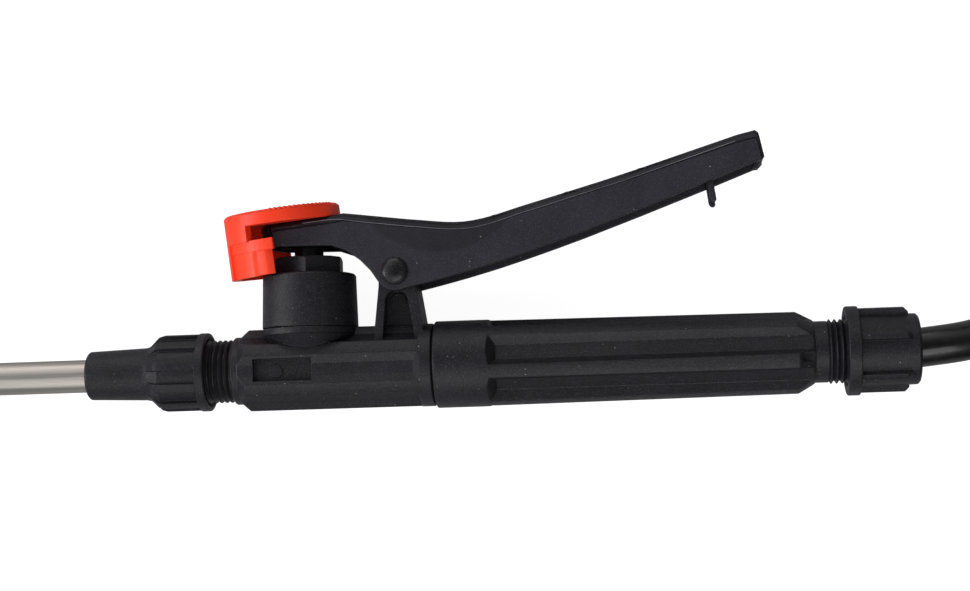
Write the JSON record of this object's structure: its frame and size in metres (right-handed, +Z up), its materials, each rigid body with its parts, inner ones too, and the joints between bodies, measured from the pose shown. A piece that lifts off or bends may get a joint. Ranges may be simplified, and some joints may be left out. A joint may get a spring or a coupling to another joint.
{
  "type": "sprayer trigger handle",
  "caption": "Squeeze-lever shut-off handle of a knapsack sprayer with lock knob, steel lance, bent nozzle and coiled supply hose.",
  "frame": {"origin": "centre of the box of the handle and lance without the hose, on the surface it lies on", "axes": "+X along the grip towards the hose, +Y from the grip towards the lever, +Z up from the surface the handle lies on"},
  "size_m": [0.7365, 0.1858, 0.039],
  "materials": {
    "stainless": "drawn tube, fine lengthwise brushing",
    "brass": "turned",
    "black_plastic": "moulded, fine grain",
    "dark_plastic": "smooth moulded",
    "pin_plastic": "smooth with light scuffs",
    "red_plastic": "smooth moulded with slight sheen",
    "white_plastic": "natural moulded",
    "seal_rubber": "soft",
    "spring_steel": "drawn wire",
    "hose_pvc": "extruded, glossy",
    "strap": "woven strap"
  },
  "bodies": {
    "handle": {"valve_body": "black_plastic", "valve_cap": "black_plastic", "cap_gasket": "seal_rubber", "gland_nut": "black_plastic", "stem_o_ring": "seal_rubber", "valve_spring": "spring_steel", "lance_seal": "seal_rubber", "grip": "black_plastic", "grip_gasket": "seal_rubber", "grip_strainer": "white_plastic", "hose_tail": "white_plastic", "tail_seal": "seal_rubber", "hose": "hose_pvc", "hose_coil": "hose_pvc", "hose_tie": "strap", "tank_tail": "white_plastic", "tank_seal": "seal_rubber"},
    "lance_nut": {"lance_nut": "black_plastic"},
    "hose_nut": {"hose_nut": "black_plastic"},
    "lance": {"lance_tube": "stainless", "lance_ferrule": "brass", "nozzle_elbow": "black_plastic", "nozzle_strainer": "white_plastic", "swirl_core": "white_plastic", "nozzle_gasket": "seal_rubber"},
    "nozzle_cap": {"nozzle_cap": "brass"},
    "lever": {"lever": "black_plastic", "pivot_pin": "pin_plastic", "pin_clip": "spring_steel"},
    "stem": {"valve_stem": "dark_plastic", "valve_disc": "seal_rubber"},
    "knob": {"lock_knob": "red_plastic", "knob_screw": "dark_plastic", "knob_clip": "spring_steel"},
    "tank_nut": {"tank_nut": "black_plastic"}
  },
  "joints": [
    {"name": "lever_pivot", "type": "hinge", "parent": "handle", "child": "lever", "pos_m": [0.10981, 0.00175, 0.0194], "axis": [0, 0, -1], "range_deg": [0, 11], "stiffness_Nm_per_rad": 1.2, "springref_deg": -17.19},
    {"name": "stem_lift", "type": "slide", "parent": "handle", "child": "stem", "axis": [0, 1, 0], "range_m": [0, 0.0056], "deforming": ["valve_spring"]},
    {"name": "knob_turn", "type": "hinge", "parent": "lever", "child": "knob", "pos_m": [0.07121, 0.0199, 0.0194], "axis": [-0.1042, 0.9915, 0.0785], "range_deg": [-45, 45]},
    {"name": "lance_swivel", "type": "hinge", "parent": "handle", "child": "lance", "pos_m": [0.00466, -0.02875, 0.0194], "axis": [1, 0, 0], "range_deg": [-90, 90]},
    {"name": "nozzle_cap_turn", "type": "hinge", "parent": "lance", "child": "nozzle_cap", "pos_m": [-0.25334, -0.02875, 0.0194], "axis": [-0.866, 0, -0.5], "range_deg": [0, 270]},
    {"name": "lance_nut_turn", "type": "hinge", "parent": "handle", "child": "lance_nut", "pos_m": [0.03596, -0.02875, 0.0194], "axis": [1, 0, 0], "range_deg": [0, 90]},
    {"name": "hose_nut_turn", "type": "hinge", "parent": "handle", "child": "hose_nut", "pos_m": [0.26491, -0.02875, 0.0194], "axis": [-1, 0, 0], "range_deg": [0, 90]},
    {"name": "tank_nut_turn", "type": "hinge", "parent": "handle", "child": "tank_nut", "pos_m": [0.30631, -0.12925, 0.0134], "axis": [-1, 0, 0], "continuous": true}
  ],
  "couplings": [
    {"joint": "stem_lift", "follows": "lever_pivot", "m_per_rad": 0.02867}
  ]
}
